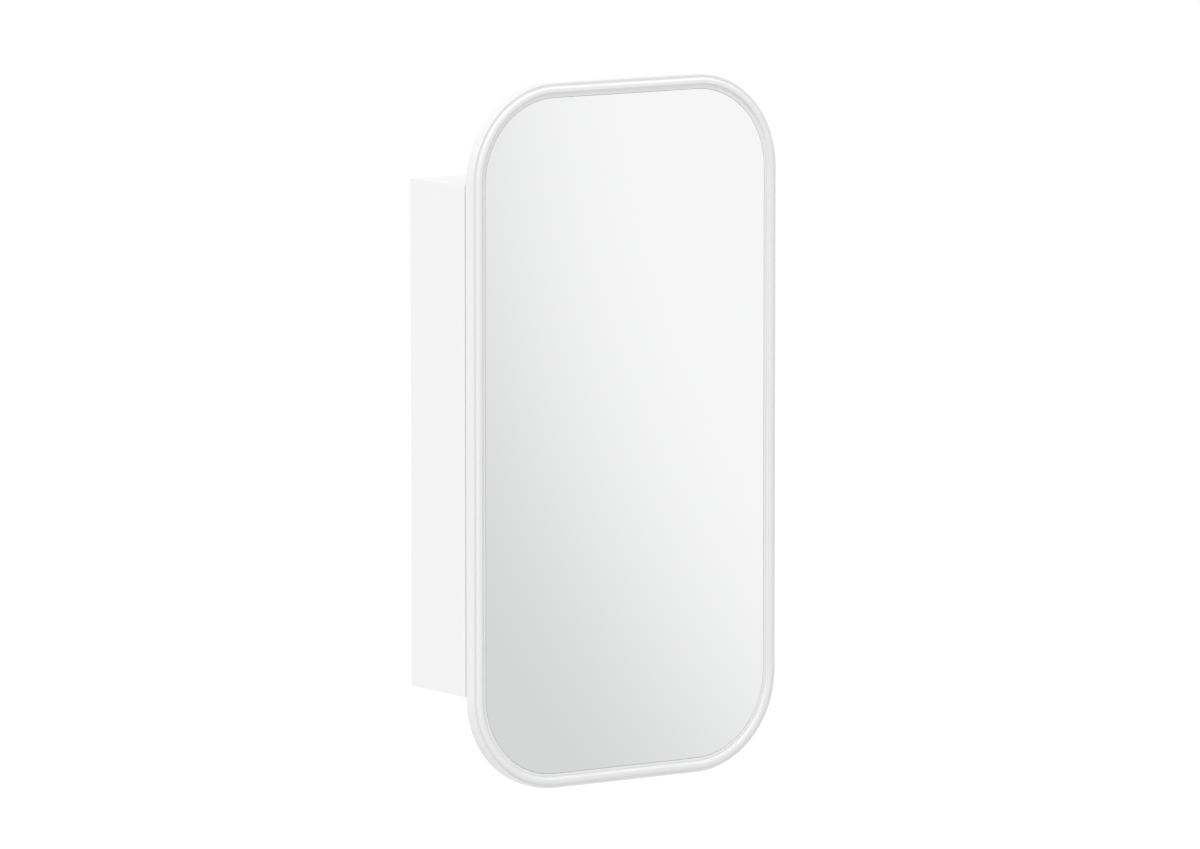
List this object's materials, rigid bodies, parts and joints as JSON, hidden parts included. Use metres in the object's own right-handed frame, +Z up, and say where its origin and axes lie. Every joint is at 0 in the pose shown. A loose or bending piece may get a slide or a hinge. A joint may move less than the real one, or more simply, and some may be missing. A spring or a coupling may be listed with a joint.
{
  "type": "mirror cabinet",
  "caption": "Wall-hung mirror cabinet: a shallow white box behind a taller, round-cornered mirror door with a moulded white frame, hinged on its right side.",
  "frame": {"origin": "centre of the wall-side face of the cabinet's box, which lies on the wall", "axes": "+X to the right of someone who faces the mirror, +Y into the wall, +Z up"},
  "size_m": [0.475, 0.145, 0.9],
  "materials": {
    "carcass_paint": "white satin paint on MDF board",
    "door_lacquer": "white satin lacquer on routed MDF",
    "mirror": "silvered float glass",
    "shelf_glass": "clear toughened glass, polished edges",
    "hinge_steel": "stainless strip",
    "zinc_steel": "bright zinc plate",
    "pin_nickel": "nickel plate",
    "catch_plastic": "white moulded plastic",
    "ferrite": "sintered ferrite",
    "beech": "fluted beech",
    "clear_rubber": "translucent soft polyurethane",
    "foam_tape": "white closed-cell foam"
  },
  "bodies": {
    "cabinet": {"left_side_panel": "carcass_paint", "right_side_panel": "carcass_paint", "top_panel": "carcass_paint", "bottom_panel": "carcass_paint", "back_panel": "carcass_paint", "carcass_dowels": "beech", "upper_shelf": "shelf_glass", "middle_shelf": "shelf_glass", "lower_shelf": "shelf_glass", "upper_shelf_pins": "pin_nickel", "middle_shelf_pins": "pin_nickel", "lower_shelf_pins": "pin_nickel", "hinge_cabinet_leaf": "hinge_steel", "hinge_cabinet_screws": "zinc_steel", "hinge_pin": "hinge_steel", "upper_catch_housing": "catch_plastic", "lower_catch_housing": "catch_plastic", "upper_catch_magnet": "ferrite", "lower_catch_magnet": "ferrite", "upper_catch_poles": "zinc_steel", "lower_catch_poles": "zinc_steel", "catch_screws": "zinc_steel", "door_bumpers": "clear_rubber"},
    "door": {"door_panel": "door_lacquer", "mirror_glass": "mirror", "mirror_tape": "foam_tape", "hinge_door_leaf": "hinge_steel", "hinge_door_screws": "zinc_steel", "upper_strike_plate": "zinc_steel", "lower_strike_plate": "zinc_steel", "strike_screws": "zinc_steel"}
  },
  "joints": [
    {"name": "door_hinge", "type": "hinge", "parent": "cabinet", "child": "door", "pos_m": [0.23765, -0.124, 0], "axis": [0, 0, 1], "range_deg": [0, 180]}
  ]
}
